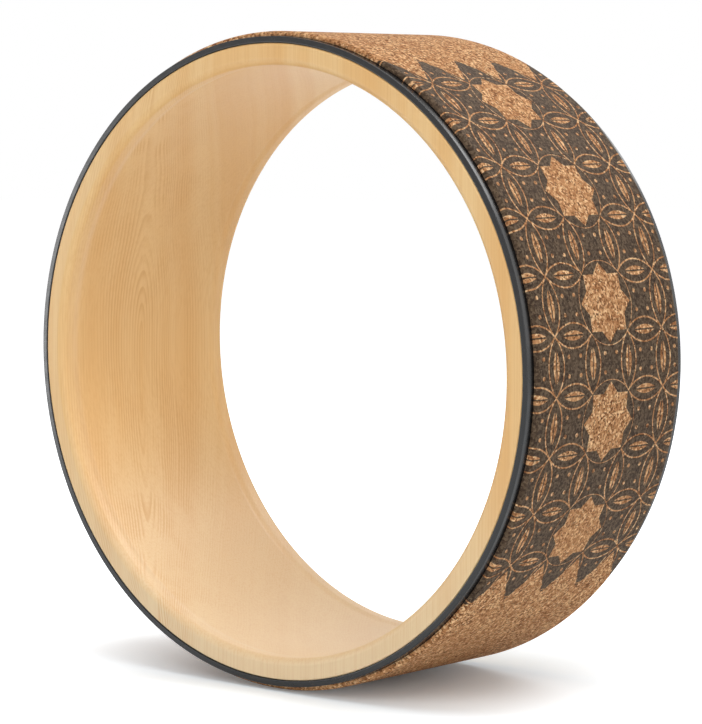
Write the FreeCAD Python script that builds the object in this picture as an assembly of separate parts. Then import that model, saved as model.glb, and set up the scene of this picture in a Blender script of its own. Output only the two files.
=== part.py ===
import FreeCAD, Part
import math
import os

# Yoga wheel: a ribbed hoop between two rounded lip rings, with a wood-grain
# liner inside it and a soft black cushion and a cork tread round it.
# Millimetres, +Z up.  The origin is the centre of the wheel and the wheel's
# axis is Y, so it stands on its tread with one open side facing -Y.

# Overall sizes
tread_diameter = 330.0
wheel_width = 125.0

# Cork tread strip
cork_thickness = 2.5
cork_setback = 4.8
cork_seam_angle = 205.0
cork_seam_width = 0.3
cork_seam_depth = 1.0

# Black cushion strip, with the tape under it and the tape that holds the cork
tread_tape_thickness = 0.15
tread_tape_margin = 0.8
cushion_thickness = 3.2
cushion_edge_bevel = 0.6
cushion_tape_thickness = 0.15
cushion_tape_margin = 1.5

# Core hoop: a skin with ribs along its inside
skin_thickness = 4.7
rib_count = 16
rib_thickness = 2.4

# Lip rings: a rounded bead that hooks inwards and plugs into the core
lip_height = 11.0
lip_round = 4.0
lip_edge_round = 0.8
lip_cover = 5.5
lip_clearance = 0.1
bead_width = 13.0
bead_slope_length = 6.0

# Liner sleeve, trapped between the two lips
liner_thickness = 2.0
liner_setback = 1.0
liner_clearance = 0.1
liner_end_gap = 0.2
liner_seam_angle = 340.0
liner_seam_gap = 0.3

# Flats along each quarter round of a section
round_steps = 3

# Radii worked out from the outside inwards
tread_radius = tread_diameter / 2
cork_inner_radius = tread_radius - cork_thickness
cushion_outer_radius = cork_inner_radius - tread_tape_thickness
cushion_inner_radius = cushion_outer_radius - cushion_thickness
hoop_radius = cushion_inner_radius - cushion_tape_thickness
skin_inner_radius = hoop_radius - skin_thickness
crest_radius = hoop_radius - lip_height
liner_inner_radius = crest_radius + liner_setback
liner_outer_radius = liner_inner_radius + liner_thickness
rib_inner_radius = liner_outer_radius + liner_clearance

# Places across the width, measured from the middle of the wheel
half_width = wheel_width / 2
lip_side = half_width - lip_round
lip_edge = half_width - lip_edge_round
shoulder = half_width - bead_width
crest_end = shoulder + bead_slope_length
lip_seat = half_width - lip_cover
core_reach = lip_seat - lip_clearance
liner_reach = shoulder - liner_end_gap
cork_reach = half_width - cork_setback

origin = FreeCAD.Vector(0, 0, 0)
wheel_axis = FreeCAD.Vector(0, 1, 0)


def section(outline):
    """A face from (radius, place across the width) points."""
    points = [FreeCAD.Vector(radius, across, 0) for radius, across in outline]
    return Part.Face(Part.makePolygon(points + points[:1]))


def rectangle(inner_radius, outer_radius, low, high):
    return section([(inner_radius, low), (outer_radius, low), (outer_radius, high), (inner_radius, high)])


def quarter_round(centre_radius, centre_across, size, first_angle):
    """Points along a quarter round, with angles in degrees from outwards to +Y."""
    points = []
    for step in range(round_steps + 1):
        turn = math.radians(first_angle + 90 * step / round_steps)
        points.append((centre_radius + size * math.cos(turn), centre_across + size * math.sin(turn)))
    return points


def turn_to(shape, angle):
    """Turn a shape about the wheel's axis, from +X towards +Z."""
    return shape.rotated(origin, wheel_axis, -angle)


def ring(face):
    return face.revolve(origin, wheel_axis, 360)


def band(inner_radius, outer_radius, reach):
    """A plain ring, alike on both sides of the middle."""
    return ring(rectangle(inner_radius, outer_radius, -reach, reach))


def sector(face, start_angle, swept_angle):
    """Part of a ring, swept from one angle towards +Z."""
    return turn_to(face, start_angle).revolve(origin, wheel_axis, -swept_angle)


def core_hoop():
    """The skin, with ribs that hold the liner and stop short of the lips."""
    skin = band(skin_inner_radius, hoop_radius, core_reach)
    rib_height = skin_inner_radius + skin_thickness / 2 - rib_inner_radius
    corner = FreeCAD.Vector(rib_inner_radius, -liner_reach, -rib_thickness / 2)
    rib = Part.makeBox(rib_height, 2 * liner_reach, rib_thickness, corner)
    rib_pitch = 360 / rib_count
    ribs = [turn_to(rib, (index + 0.5) * rib_pitch) for index in range(rib_count)]
    return skin.fuse(ribs).removeSplitter()


def lip_ring():
    """The rear lip: its bead plugs into the skin, and its rim covers the skin's end."""
    plug_radius = skin_inner_radius - lip_clearance
    outline = [(plug_radius, shoulder), (plug_radius, lip_seat), (hoop_radius, lip_seat)]
    outline += quarter_round(hoop_radius - lip_edge_round, lip_edge, lip_edge_round, 0)
    outline += quarter_round(crest_radius + lip_round, lip_side, lip_round, 90)
    outline += [(crest_radius, crest_end), (liner_inner_radius, shoulder)]
    return ring(section(outline))


def liner_sleeve():
    """A sheet rolled into a sleeve, with its two ends at a butt seam."""
    face = rectangle(liner_inner_radius, liner_outer_radius, -liner_reach, liner_reach)
    gap_angle = math.degrees(liner_seam_gap / liner_outer_radius)
    return sector(face, liner_seam_angle + gap_angle / 2, 360 - gap_angle)


def cushion_strip():
    """A band as wide as the hoop, with its outer edges eased."""
    side = cushion_outer_radius - cushion_edge_bevel
    flat = half_width - cushion_edge_bevel
    return ring(section([
        (cushion_inner_radius, half_width),
        (cushion_inner_radius, -half_width),
        (side, -half_width),
        (cushion_outer_radius, -flat),
        (cushion_outer_radius, flat),
        (side, half_width),
    ]))


def cork_tread():
    """A square-cut band narrower than the cushion, grooved where its ends meet."""
    tread = band(cork_inner_radius, tread_radius, cork_reach)
    groove_angle = math.degrees(cork_seam_width / tread_radius)
    groove_floor = tread_radius - cork_seam_depth
    groove_face = rectangle(groove_floor, tread_radius + cork_thickness, -half_width, half_width)
    return tread.cut(sector(groove_face, cork_seam_angle - groove_angle / 2, groove_angle))


rear_lip = lip_ring()
pieces = {
    "core_hoop": core_hoop(),
    "front_lip": rear_lip.mirror(origin, wheel_axis),
    "rear_lip": rear_lip,
    "liner_sleeve": liner_sleeve(),
    "cushion_tape": band(hoop_radius, cushion_inner_radius, lip_edge - cushion_tape_margin),
    "cushion_strip": cushion_strip(),
    "tread_tape": band(cushion_outer_radius, cork_inner_radius, cork_reach - tread_tape_margin),
    "cork_tread": cork_tread(),
}

os.makedirs("parts", exist_ok=True)
for name, shape in pieces.items():
    shape.exportStep(os.path.join("parts", name + ".step"))
    print(name, shape.isValid(), len(shape.Solids), round(shape.Volume / 1000, 2), "cm3")
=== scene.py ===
import math

import bmesh
import bpy
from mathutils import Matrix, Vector


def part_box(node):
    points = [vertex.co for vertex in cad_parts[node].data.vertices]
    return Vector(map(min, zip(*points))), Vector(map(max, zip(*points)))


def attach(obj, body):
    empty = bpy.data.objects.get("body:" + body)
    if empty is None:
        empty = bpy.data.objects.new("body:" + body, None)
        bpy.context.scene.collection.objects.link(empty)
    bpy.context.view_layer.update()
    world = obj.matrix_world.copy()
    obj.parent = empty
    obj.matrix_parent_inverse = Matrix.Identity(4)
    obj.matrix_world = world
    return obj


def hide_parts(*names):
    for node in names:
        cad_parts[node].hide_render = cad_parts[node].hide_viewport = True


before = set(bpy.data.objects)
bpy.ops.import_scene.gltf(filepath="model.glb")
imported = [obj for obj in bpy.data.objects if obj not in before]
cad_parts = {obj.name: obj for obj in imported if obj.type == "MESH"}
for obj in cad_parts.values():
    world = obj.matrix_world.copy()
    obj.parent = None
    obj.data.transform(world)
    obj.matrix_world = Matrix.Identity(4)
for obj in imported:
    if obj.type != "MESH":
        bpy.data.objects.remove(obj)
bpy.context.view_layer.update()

# Lengths are metres.  The wheel's axis is Y and its centre is the origin.
mm = 0.001

# Sizes taken from the parts in model.glb
tread_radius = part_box("cork_tread")[1].x
cork_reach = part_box("cork_tread")[1].y
cork_inner_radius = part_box("tread_tape")[1].x
cushion_outer_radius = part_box("cushion_strip")[1].x
cushion_inner_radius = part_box("cushion_tape")[1].x
hoop_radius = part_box("core_hoop")[1].x
half_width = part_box("rear_lip")[1].y
liner_outer_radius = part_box("liner_sleeve")[1].x

# Lip rings, which plug into the core, and the liner between them
lip_height = 11.0 * mm
lip_round = 4.0 * mm
lip_edge_round = 0.8 * mm
lip_cover = 5.5 * mm
lip_clearance = 0.1 * mm
bead_width = 13.0 * mm
bead_slope_length = 6.0 * mm
skin_thickness = 4.7 * mm
liner_thickness = 2.0 * mm
liner_end_gap = 0.01 * mm

crest_radius = hoop_radius - lip_height
plug_radius = hoop_radius - skin_thickness - lip_clearance
liner_inner_radius = liner_outer_radius - liner_thickness
shoulder = half_width - bead_width

# Edges of the two strips
cushion_outer_round = 0.4 * mm
cushion_inner_round = 0.6 * mm
cork_edge_round = 2.2 * mm
cork_inner_round = 0.1 * mm
cork_seam_angle = 205.0
cork_seam_width = 0.3 * mm
cork_seam_depth = 1.0 * mm
cork_seam_wall_turn = 0.02

# Fineness of the meshes
ring_segments = 360
round_steps = 8
lip_steps = 16
sharp_angle = 40.0

# Viewing direction and lens of the photograph
view_azimuth = 40.7
view_elevation = 4.79
view_distance = 1.57
view_lens = 151.8
view_sensor_width = 36.0
view_aim = Vector((0.3 * mm, 0.25 * mm, -3.3 * mm))


def tone(red, green, blue):
    """A colour given as 8-bit display values, in the linear form that nodes take."""
    def linear(value):
        share = value / 255
        return share / 12.92 if share <= 0.04045 else ((share + 0.055) / 1.055) ** 2.4
    return (linear(red), linear(green), linear(blue), 1.0)


# Outlines and rings

def quarter_round(centre_radius, centre_across, size, first_angle):
    """Points along a quarter round, with angles in degrees from outwards to +Y."""
    points = []
    for step in range(round_steps + 1):
        turn = math.radians(first_angle + 90 * step / round_steps)
        points.append((centre_radius + size * math.cos(turn), centre_across + size * math.sin(turn)))
    return points


def lip_roll():
    """The rounded inner edge of the lip, from its side to its crest."""
    points = []
    for step in range(lip_steps + 1):
        turn = math.radians(90 * step / lip_steps)
        radius = crest_radius + lip_round * (1 - math.sin(turn))
        points.append((radius, half_width - lip_round * (1 - math.cos(turn))))
    return points


def bead_slope():
    """The eased back of the lip's bead, from its crest down to the liner."""
    points = []
    for step in range(lip_steps + 1):
        share = step / lip_steps
        eased = (1 - math.cos(math.pi * share)) / 2
        radius = crest_radius + (liner_inner_radius - crest_radius) * eased
        points.append((radius, shoulder + bead_slope_length * (1 - share)))
    return points


def lip_outline():
    """Section of the rear lip: the plug, the rim over the core's end, and the bead."""
    lip_seat = half_width - lip_cover
    outline = [(plug_radius, shoulder), (plug_radius, lip_seat), (hoop_radius, lip_seat)]
    lip_edge = half_width - lip_edge_round
    outline += quarter_round(hoop_radius - lip_edge_round, lip_edge, lip_edge_round, 0)
    return outline + lip_roll() + bead_slope()


def mirrored(outline):
    return [(radius, -across) for radius, across in outline]


def liner_outline():
    reach = shoulder - liner_end_gap
    return [
        (liner_inner_radius, -reach),
        (liner_outer_radius, -reach),
        (liner_outer_radius, reach),
        (liner_inner_radius, reach),
    ]


def strip_outline(inner_radius, outer_radius, reach, inner_round, outer_round):
    """Section of a strip with rounded edges, alike on both sides."""
    half = quarter_round(outer_radius - outer_round, reach - outer_round, outer_round, 0)
    half += quarter_round(inner_radius + inner_round, reach - inner_round, inner_round, 90)
    return half + mirrored(half)[::-1]


def lathe(name, outline_at, turns):
    """A closed ring; outline_at gives its (radius, across) points at each turn, in degrees."""
    build = bmesh.new()
    rows = []
    for turn in turns:
        c, s = math.cos(math.radians(turn)), math.sin(math.radians(turn))
        points = [(radius * c, across, radius * s) for radius, across in outline_at(turn)]
        rows.append([build.verts.new(point) for point in points])
    for row, after in zip(rows, rows[1:] + rows[:1]):
        for index in range(len(row)):
            build.faces.new((row[index - 1], row[index], after[index], after[index - 1]))
    bmesh.ops.recalc_face_normals(build, faces=build.faces)
    mesh = bpy.data.meshes.new(name)
    build.to_mesh(mesh)
    build.free()
    mesh.shade_smooth()
    mesh.set_sharp_from_angle(angle=math.radians(sharp_angle))
    piece = bpy.data.objects.new(name, mesh)
    bpy.context.scene.collection.objects.link(piece)
    even = piece.modifiers.new("even_normals", "WEIGHTED_NORMAL")
    even.keep_sharp = True
    return piece


def even_turns():
    return [360 * step / ring_segments for step in range(ring_segments)]


def plain_ring(name, outline):
    return lathe(name, lambda turn: outline, even_turns())


def cork_ring(name):
    """The cork strip, with the fine groove where its two ends meet."""
    outline = strip_outline(cork_inner_radius, tread_radius, cork_reach, cork_inner_round, cork_edge_round)
    groove_floor = tread_radius - cork_seam_depth
    half_groove = math.degrees(cork_seam_width / tread_radius) / 2
    grooved = [(min(radius, groove_floor), across) for radius, across in outline]

    def outline_at(turn):
        return grooved if abs(turn - cork_seam_angle) <= half_groove else outline

    turns = [turn for turn in even_turns() if abs(turn - cork_seam_angle) > half_groove + cork_seam_wall_turn]
    for side in (-1, 1):
        turns.append(cork_seam_angle + side * half_groove)
        turns.append(cork_seam_angle + side * (half_groove + cork_seam_wall_turn))
    return lathe(name, outline_at, sorted(turns))


# Materials

class Nodes:
    """The nodes of a material or a world.  An input may be a number, a colour or an output."""

    def __init__(self, owner, shader):
        owner.use_nodes = True
        self.owner = owner
        self.tree = owner.node_tree
        self.shader = self.tree.nodes[shader]

    def feed(self, socket, value):
        if isinstance(value, bpy.types.NodeSocket):
            self.tree.links.new(value, socket)
        else:
            socket.default_value = value

    def add(self, kind, inputs, **settings):
        node = self.tree.nodes.new(kind)
        for key, value in settings.items():
            setattr(node, key, value)
        for key, value in inputs.items():
            self.feed(node.inputs[key], value)
        return node

    def place(self):
        return self.add("ShaderNodeTexCoord", {}).outputs["Object"]

    def axes(self, vector):
        return self.add("ShaderNodeSeparateXYZ", {0: vector}).outputs

    def point(self, x, y, z=0.0):
        return self.add("ShaderNodeCombineXYZ", {0: x, 1: y, 2: z}).outputs[0]

    def math(self, operation, *values):
        return self.add("ShaderNodeMath", dict(enumerate(values)), operation=operation).outputs[0]

    def scaled(self, vector, x, y, z):
        return self.add("ShaderNodeVectorMath", {0: vector, 1: (x, y, z)}, operation="MULTIPLY").outputs[0]

    def length(self, vector):
        return self.add("ShaderNodeVectorMath", {0: vector}, operation="LENGTH").outputs["Value"]

    def noise(self, vector, scale, detail=2.0):
        inputs = {"Vector": vector, "Scale": scale, "Detail": detail}
        return self.add("ShaderNodeTexNoise", inputs).outputs["Fac"]

    def line_noise(self, place, scale, detail=2.0):
        inputs = {"W": place, "Scale": scale, "Detail": detail}
        return self.add("ShaderNodeTexNoise", inputs, noise_dimensions="1D").outputs["Fac"]

    def cells(self, vector, scale):
        return self.add("ShaderNodeTexVoronoi", {"Vector": vector, "Scale": scale})

    def step(self, value, low, high, low_value=0.0, high_value=1.0):
        """A smooth step of a value between two limits."""
        inputs = {"Value": value, 1: low, 2: high, 3: low_value, 4: high_value}
        return self.add("ShaderNodeMapRange", inputs, interpolation_type="SMOOTHSTEP").outputs[0]

    def mix(self, factor, first, second):
        node = self.add("ShaderNodeMix", {0: factor, 6: first, 7: second}, data_type="RGBA")
        return node.outputs[2]

    def ramp(self, value, stops):
        node = self.add("ShaderNodeValToRGB", {0: value})
        elements = node.color_ramp.elements
        while len(elements) < len(stops):
            elements.new(0.5)
        for element, (position, colour) in zip(elements, stops):
            element.position = position
            element.color = colour
        return node.outputs[0]

    def blend(self, factor, first, second):
        return self.add("ShaderNodeMix", {0: factor, 2: first, 3: second}, data_type="FLOAT").outputs[0]

    def bump(self, height, strength, distance):
        inputs = {"Height": height, "Strength": strength, "Distance": distance}
        self.feed(self.shader.inputs["Normal"], self.add("ShaderNodeBump", inputs).outputs[0])

    def seen(self):
        """1 for rays from the camera and for mirrored or refracted ones."""
        path = self.add("ShaderNodeLightPath", {}).outputs
        bounced = self.math("MAXIMUM", path["Is Glossy Ray"], path["Is Transmission Ray"])
        return self.math("MAXIMUM", path["Is Camera Ray"], bounced)


def new_material(name):
    return Nodes(bpy.data.materials.new(name), "Principled BSDF")


# The grain runs up the wheel, and its lines are spread along this level direction.
grain_facing = 40.7
figure_place = -114 * mm
figure_height = -8 * mm
figure_bow = 1.265
figure_bow_share = 1.5
figure_near_share = 0.8
figure_left = -20 * mm
figure_right = 35 * mm
figure_width = 9 * mm
figure_top = 95 * mm
figure_lower_share = 0.55
grain_pitch = 1.3 * mm
grain_sway = 9 * mm
grain_unevenness = 4.0
grain_bands_per_metre = 45.0
strong_lines_within = 10 * mm
faint_lines_beyond = 50 * mm
faint_line_share = 0.2
line_darkness = 0.6
fibre_darkness = 0.16
# Painted sheen: how far the wood turns to the pale tone below at the bottom of the wheel.
painted_sheen_share = 0.75
wood_light = tone(240, 200, 140)
wood_mid = tone(232, 182, 116)
wood_dark = tone(205, 142, 74)
# Painted sheen: a pale tone, and the heights between which the wood turns to it, standing in for light from
# above and the white sheen on the lower inner wall and lips.
painted_sheen_tone = tone(234, 212, 176)
painted_sheen_top = -20 * mm
painted_sheen_foot = -160 * mm
lip_shine = 0.45
liner_shine = 0.25


def grain_figure(n, place):
    """Distance from the heart of the figure: its lines bow to the left and close at both ends."""
    x, y, z = n.axes(place)
    facing = math.radians(grain_facing)
    level = n.math("ADD", n.math("MULTIPLY", x, math.cos(facing)), n.math("MULTIPLY", y, math.sin(facing)))
    sway = n.math("SUBTRACT", n.noise(n.scaled(place, 14, 14, 6), 1.0), 0.5)
    level = n.math("ADD", level, n.math("MULTIPLY", sway, grain_sway))
    offset = n.math("SUBTRACT", level, figure_place)
    height = n.math("SUBTRACT", z, figure_height)
    bow = n.math("DIVIDE", n.math("MULTIPLY", height, height), figure_bow)
    near = n.math("SUBTRACT", offset, n.math("MULTIPLY", bow, figure_near_share))
    share = n.step(near, figure_left, figure_right, figure_bow_share, 0.0)
    line = n.math("SUBTRACT", offset, n.math("MULTIPLY", bow, share))
    reach = n.math("MAXIMUM", height, n.math("MULTIPLY", height, -figure_lower_share))
    closing = n.step(reach, 0.0, figure_top, 0.0, figure_width)
    return line, n.length(n.point(line, closing))


def wood_material(name, shine):
    """A satin wood-grain print: fine upright lines that part round one long figure, with painted sheen that
    turns it paler towards the bottom.
    """
    n = new_material(name)
    place = n.place()
    line, figure = grain_figure(n, place)
    wander = n.line_noise(n.math("ADD", figure, line), grain_bands_per_metre)
    uneven = n.math("MULTIPLY", wander, grain_unevenness)
    growth = n.math("FRACT", n.math("ADD", n.math("DIVIDE", figure, grain_pitch), uneven))
    late = n.math("MULTIPLY", n.step(growth, 0.25, 0.85), n.step(growth, 0.88, 1.0, 1.0, 0.0))
    patchy = n.step(n.noise(n.scaled(place, 60, 60, 7), 1.0), 0.35, 0.65, 0.1, 0.75)
    from_heart = n.math("ABSOLUTE", line)
    strong = n.step(from_heart, strong_lines_within, faint_lines_beyond, 1.0, faint_line_share)
    lines = n.math("MULTIPLY", n.math("MULTIPLY", late, patchy), strong)

    broad = n.step(n.line_noise(figure, grain_bands_per_metre, 3.0), 0.3, 0.7)
    fibre = n.noise(n.scaled(place, 1100, 1100, 18), 1.0, 3.0)
    base = n.mix(broad, wood_mid, wood_light)
    # Painted sheen: the base turns paler from the top height down to the foot, standing in for light from
    # above and the white sheen on the lower wall and lips.
    height = n.axes(place)[2]
    base = n.mix(n.step(height, painted_sheen_foot, painted_sheen_top, painted_sheen_share, 0.0), base, painted_sheen_tone)
    base = n.mix(n.step(fibre, 0.4, 0.7, 0.0, fibre_darkness), base, wood_dark)
    colour = n.mix(n.math("MULTIPLY", lines, line_darkness), base, wood_dark)
    n.feed(n.shader.inputs["Base Color"], colour)
    n.feed(n.shader.inputs["Roughness"], n.step(lines, 0.0, 1.0, 0.42, 0.52))
    n.shader.inputs["Specular IOR Level"].default_value = shine
    n.bump(n.math("ADD", lines, fibre), 0.05, 0.05 * mm)
    return n.owner


rubber_dark = tone(11, 11, 12)
rubber_light = tone(20, 20, 21)


def rubber_material():
    """Smooth black closed-cell foam skin with a semi-matte sheen."""
    n = new_material("black_foam_skin")
    place = n.place()
    mottle = n.noise(place, 160.0, 4.0)
    pores = n.noise(place, 2600.0, 2.0)
    n.feed(n.shader.inputs["Base Color"], n.mix(mottle, rubber_dark, rubber_light))
    n.feed(n.shader.inputs["Roughness"], n.step(mottle, 0.3, 0.7, 0.22, 0.28))
    n.shader.inputs["Specular IOR Level"].default_value = 0.4
    n.bump(pores, 0.1, 0.05 * mm)
    return n.owner


# Print on the cork: a lattice of overlapping circles, with leaves, dots, stars and zigzag ends
print_cell = 28.9 * mm
print_start_angle = -42.0
print_end_angle = 66.0
print_zigzag = 22.0 * mm
print_line = 0.8 * mm
print_line_blur = 0.12 * mm
print_end_blur = 0.3 * mm
leaf_inset = 0.125
dot_place = 0.16
dot_radius = 0.036
star_size = 0.48
ink_dark = tone(56, 45, 36)
ink_light = tone(98, 82, 66)


def print_mask(n, place):
    """1 where the tread is inked, from the place along and across the tread."""
    x, y, z = n.axes(place)
    along = n.math("MULTIPLY", n.math("ARCTAN2", z, x), tread_radius)
    start = math.radians(print_start_angle) * tread_radius
    end = math.radians(print_end_angle) * tread_radius
    along = n.math("SUBTRACT", along, (start + end) / 2)
    cell_along = n.math("DIVIDE", along, print_cell)
    cell_across = n.math("DIVIDE", y, print_cell)
    u = n.math("PINGPONG", cell_along, 0.5)
    v = n.math("PINGPONG", cell_across, 0.5)
    own = n.length(n.point(u, v))
    beside = n.length(n.point(n.math("SUBTRACT", 1.0, u), v))
    above = n.length(n.point(u, n.math("SUBTRACT", 1.0, v)))
    near = n.math("MINIMUM", beside, above)
    circle = math.sqrt(0.5)
    blur = print_line_blur / print_cell
    half_line = print_line / print_cell / 2

    def below(value, limit):
        return n.step(value, limit - blur, limit + blur, 1.0, 0.0)

    line = below(n.math("ABSOLUTE", n.math("SUBTRACT", near, circle)), half_line)
    depth = n.math("SUBTRACT", circle, n.math("MAXIMUM", near, own))
    from_rib = n.math("SUBTRACT", 0.5, n.math("MAXIMUM", u, v))
    leaf = n.math("SUBTRACT", 1.0, n.math("MAXIMUM", below(depth, leaf_inset), below(from_rib, half_line)))
    from_dot = n.point(n.math("SUBTRACT", u, dot_place), n.math("SUBTRACT", v, dot_place))
    dots = below(n.length(from_dot), dot_radius)

    # Stars of two crossed squares sit on every other crossing of the middle row, in an inked disc
    star_u = n.math("PINGPONG", cell_along, 1.0)
    star_v = n.math("ABSOLUTE", cell_across)
    upright = n.math("MAXIMUM", star_u, star_v)
    tilted = n.math("MULTIPLY", n.math("ADD", star_u, star_v), math.sqrt(0.5))
    star = below(n.math("MINIMUM", upright, tilted), star_size)
    cleared = below(n.length(n.point(star_u, star_v)), star_size * math.sqrt(2) + 2 * half_line)

    lattice = n.math("MAXIMUM", line, n.math("MAXIMUM", leaf, dots))
    bare = n.math("MAXIMUM", star, n.math("MULTIPLY", lattice, n.math("SUBTRACT", 1.0, cleared)))

    from_middle = n.math("ABSOLUTE", along)
    reach = n.math("SUBTRACT", (end - start) / 2, n.math("MULTIPLY", v, 2 * print_zigzag))
    inside = n.step(n.math("SUBTRACT", reach, from_middle), 0.0, print_end_blur)
    return n.math("MULTIPLY", inside, n.math("SUBTRACT", 1.0, bare))


granules_per_metre = 900.0
flecks_per_metre = 1100.0
granule_bend = 1.0 * mm
granule_tones = [
    (0.0, tone(104, 58, 32)),
    (0.25, tone(172, 118, 76)),
    (0.65, tone(202, 150, 104)),
    (1.0, tone(250, 210, 160)),
]
cork_fleck = tone(84, 48, 28)
cork_patch = tone(194, 142, 98)
ink_fleck = tone(36, 28, 22)
ink_cover = 0.97


def cork_material():
    """Fine agglomerated cork: pressed granules, dark bark flecks, and the inked print."""
    n = new_material("printed_cork")
    place = n.place()
    wobble = n.add("ShaderNodeTexNoise", {"Vector": place, "Scale": granules_per_metre}).outputs["Color"]
    shift = n.scaled(wobble, granule_bend, granule_bend, granule_bend)
    bent = n.add("ShaderNodeVectorMath", {0: place, 1: shift}, operation="ADD").outputs[0]
    grains = n.cells(bent, granules_per_metre)
    flecks = n.cells(bent, flecks_per_metre)
    pick = n.axes(grains.outputs["Color"])[0]
    fleck_pick = n.axes(flecks.outputs["Color"])[1]
    granule = n.ramp(pick, granule_tones)
    fleck = n.step(fleck_pick, 0.86, 0.9)
    cork = n.mix(n.math("MULTIPLY", fleck, 0.75), granule, cork_fleck)
    cork = n.mix(n.step(n.noise(place, 25.0, 3.0), 0.3, 0.7, 0.0, 0.25), cork, cork_patch)

    ink = n.mix(n.step(pick, 0.0, 1.0), ink_dark, ink_light)
    ink = n.mix(n.math("MULTIPLY", fleck, 0.6), ink, ink_fleck)
    inked = n.math("MULTIPLY", print_mask(n, place), ink_cover)
    n.feed(n.shader.inputs["Base Color"], n.mix(inked, cork, ink))
    n.feed(n.shader.inputs["Roughness"], n.step(inked, 0.0, 1.0, 0.78, 0.62))
    n.shader.inputs["Specular IOR Level"].default_value = 0.08
    n.bump(grains.outputs["Distance"], 0.35, 0.25 * mm)
    return n.owner


def tape_material():
    """Milky adhesive film with faint streaks."""
    n = new_material("adhesive_film")
    streaks = n.noise(n.scaled(n.place(), 60, 600, 60), 1.0, 3.0)
    n.feed(n.shader.inputs["Base Color"], n.mix(streaks, tone(222, 216, 200), tone(236, 231, 218)))
    n.feed(n.shader.inputs["Roughness"], n.step(streaks, 0.2, 0.8, 0.3, 0.45))
    return n.owner


def core_material():
    """Plain moulded plastic with faint flow marks and a fine mould texture."""
    n = new_material("moulded_core")
    place = n.place()
    flow = n.noise(n.scaled(place, 18, 60, 18), 1.0, 3.0)
    n.feed(n.shader.inputs["Base Color"], n.mix(flow, tone(218, 210, 194), tone(228, 222, 208)))
    n.feed(n.shader.inputs["Roughness"], n.step(flow, 0.3, 0.7, 0.5, 0.6))
    n.bump(n.noise(place, 1800.0), 0.08, 0.05 * mm)
    return n.owner


# Pieces

def dress(piece, material, slot_name, *nodes):
    """Gives a new ring its material and its body, and hides the solids that it stands for."""
    piece.data.materials.append(material)
    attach(piece, "root")
    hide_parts(*nodes)


lip_wood = wood_material("wood_grain_lip", lip_shine)
liner_wood = wood_material("wood_grain_liner", liner_shine)
dress(plain_ring("front_lip_ring", mirrored(lip_outline())), lip_wood, "wood_grain", "front_lip")
dress(plain_ring("rear_lip_ring", lip_outline()), lip_wood, "wood_grain", "rear_lip")
dress(plain_ring("inner_sleeve", liner_outline()), liner_wood, "wood_grain", "liner_sleeve")

cushion_outline = strip_outline(
    cushion_inner_radius, cushion_outer_radius, half_width, cushion_inner_round, cushion_outer_round
)
cushion = plain_ring("cushion_band", cushion_outline)
dress(cushion, rubber_material(), "cushion", "cushion_strip")

dress(cork_ring("cork_band"), cork_material(), "cork", "cork_tread")

core = core_material()
tape = tape_material()
for node_name, material in (("core_hoop", core), ("cushion_tape", tape), ("tread_tape", tape)):
    node_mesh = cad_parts[node_name].data
    node_mesh.materials.clear()
    node_mesh.materials.append(material)


# Floor, light and camera

floor_half_size = 6.0
floor_colour = (0.86, 0.92, 0.96, 1.0)
floor_glow_start = 0.0
floor_glow_reach = 0.26
dome_light = 0.04


def make_floor():
    """A white floor that keeps the shadow near the wheel, and a painted glow, seen only by camera and mirror
    rays, that grows with the distance from the wheel and fades the shadow into the white room around it.
    """
    half = floor_half_size
    mesh = bpy.data.meshes.new("floor")
    corners = [(-half, -half, 0), (half, -half, 0), (half, half, 0), (-half, half, 0)]
    mesh.from_pydata(corners, [], [(0, 1, 2, 3)])
    floor = bpy.data.objects.new("floor", mesh)
    floor.location.z = -tread_radius
    bpy.context.scene.collection.objects.link(floor)
    n = new_material("white_floor")
    n.shader.inputs["Base Color"].default_value = floor_colour
    n.shader.inputs["Roughness"].default_value = 0.9
    n.shader.inputs["Specular IOR Level"].default_value = 0.0
    n.shader.inputs["Emission Color"].default_value = (1.0, 1.0, 1.0, 1.0)
    # Painted light: the floor glows from none under the wheel's centre to full white at the reach, which
    # fades out the shadow further off.
    painted_glow = n.step(n.length(n.place()), floor_glow_start, floor_glow_reach)
    n.feed(n.shader.inputs["Emission Strength"], n.math("MULTIPLY", n.seen(), painted_glow))
    mesh.materials.append(n.owner)


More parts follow.
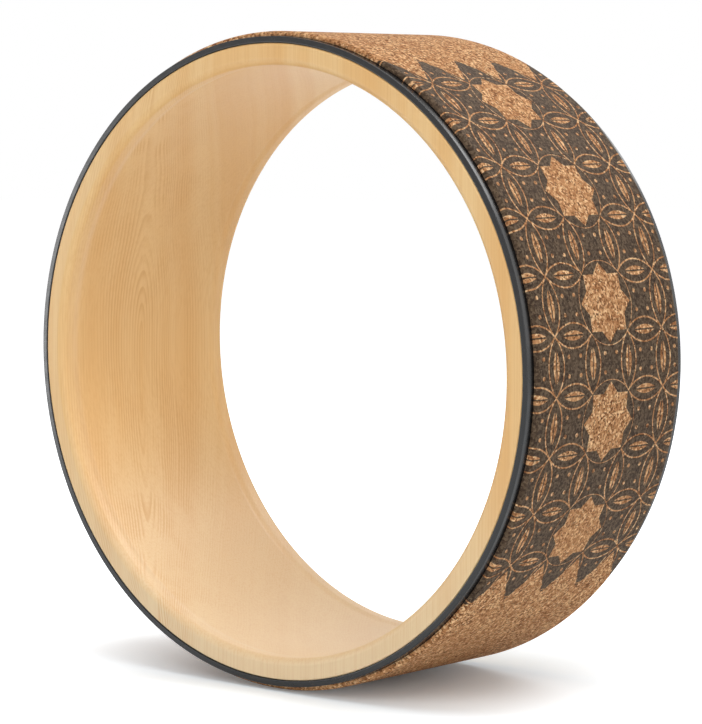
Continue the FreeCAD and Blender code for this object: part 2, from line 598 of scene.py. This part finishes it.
def make_world():
    """A white room that shows as white and adds a little light from all round."""
    world = bpy.data.worlds.new("white_studio")
    n = Nodes(world, "Background")
    n.shader.inputs["Color"].default_value = (1.0, 1.0, 1.0, 1.0)
    n.feed(n.shader.inputs["Strength"], n.blend(n.seen(), dome_light, 1.0))
    bpy.context.scene.world = world


def make_lamp(name, place, aim, size, power):
    lamp = bpy.data.lights.new(name, "AREA")
    lamp.shape = "SQUARE"
    lamp.size = size
    lamp.energy = power
    holder = bpy.data.objects.new(name, lamp)
    holder.location = place
    holder.rotation_euler = (Vector(aim) - Vector(place)).to_track_quat("-Z", "Y").to_euler()
    bpy.context.scene.collection.objects.link(holder)


def make_camera():
    turn, tilt = math.radians(view_azimuth), math.radians(view_elevation)
    back = Vector((
        math.sin(turn) * math.cos(tilt),
        -math.cos(turn) * math.cos(tilt),
        math.sin(tilt),
    ))
    lens = bpy.data.cameras.new("camera")
    lens.lens = view_lens
    lens.sensor_width = view_sensor_width
    camera = bpy.data.objects.new("camera", lens)
    camera.location = view_aim + back * view_distance
    camera.rotation_euler = (-back).to_track_quat("-Z", "Y").to_euler()
    bpy.context.scene.collection.objects.link(camera)
    bpy.context.scene.camera = camera


make_floor()
make_world()
make_lamp("top_softbox", (0.2, -0.4, 1.9), (0, 0, 0), 1.2, 19.0)
make_lamp("front_softbox", (0.9, -1.7, 1.3), (0, 0, -0.05), 1.0, 13.8)
make_lamp("front_low_softbox", (0.9, -1.6, 0.15), (0, 0, 0.05), 0.6, 4.6)
make_lamp("right_softbox", (1.9, -0.3, 0.15), (0, 0, 0), 0.6, 5.5)
make_lamp("rear_low_softbox", (1.1, 1.2, 0.45), (0, 0, 0), 0.9, 2.8)
make_lamp("rear_high_softbox", (0.5, 1.3, 1.4), (0, 0, 0.05), 0.9, 12.5)
make_lamp("rear_left_softbox", (-0.75, 1.35, 0.85), (0, 0, 0), 1.0, 2.3)
make_lamp("rim_softbox", (-0.94, -0.8, -0.03), (-0.16, -0.06, 0), 0.24, 1.6)
make_camera()
bpy.context.scene.view_settings.view_transform = "Standard"
